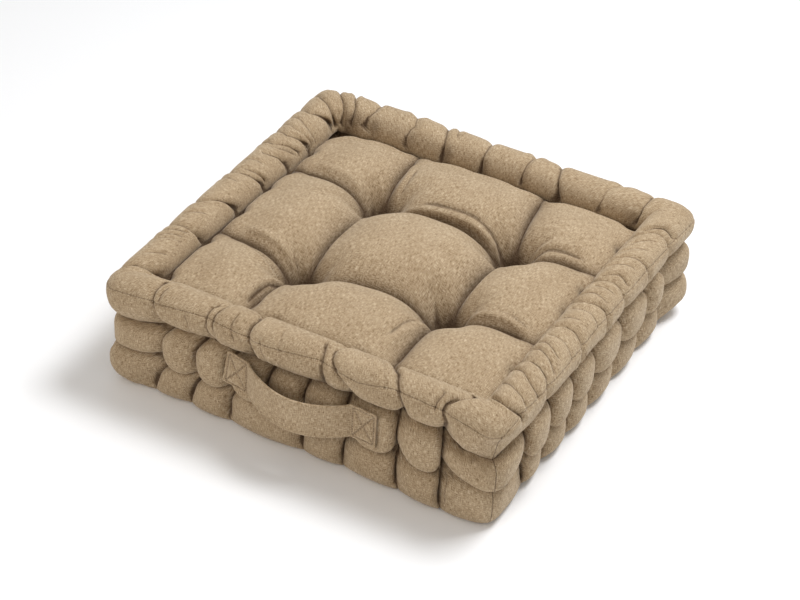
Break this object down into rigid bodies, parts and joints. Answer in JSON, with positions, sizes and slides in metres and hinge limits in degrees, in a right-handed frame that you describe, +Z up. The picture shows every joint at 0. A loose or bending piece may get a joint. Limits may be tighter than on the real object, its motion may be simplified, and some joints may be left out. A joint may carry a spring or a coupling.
{
  "type": "tufted floor cushion",
  "caption": "Square tufted floor cushion with a rolled, pinched top edge, quilted side puffs and a sewn-on carrying strap.",
  "frame": {"origin": "middle of the flat underside, on the floor it rests on", "axes": "+Z up out of the tufted top, -Y towards the front that carries the strap, +X to the right as seen from the front"},
  "size_m": [0.4148, 0.4226, 0.121],
  "materials": {
    "cover": "matte heathered beige linen-look cotton, plain weave with pale flecks",
    "strap": "the same beige cloth folded into a flat strap with top stitching"
  },
  "bodies": {
    "root": {"cushion": "cover", "handle": "strap"}
  },
  "joints": []
}
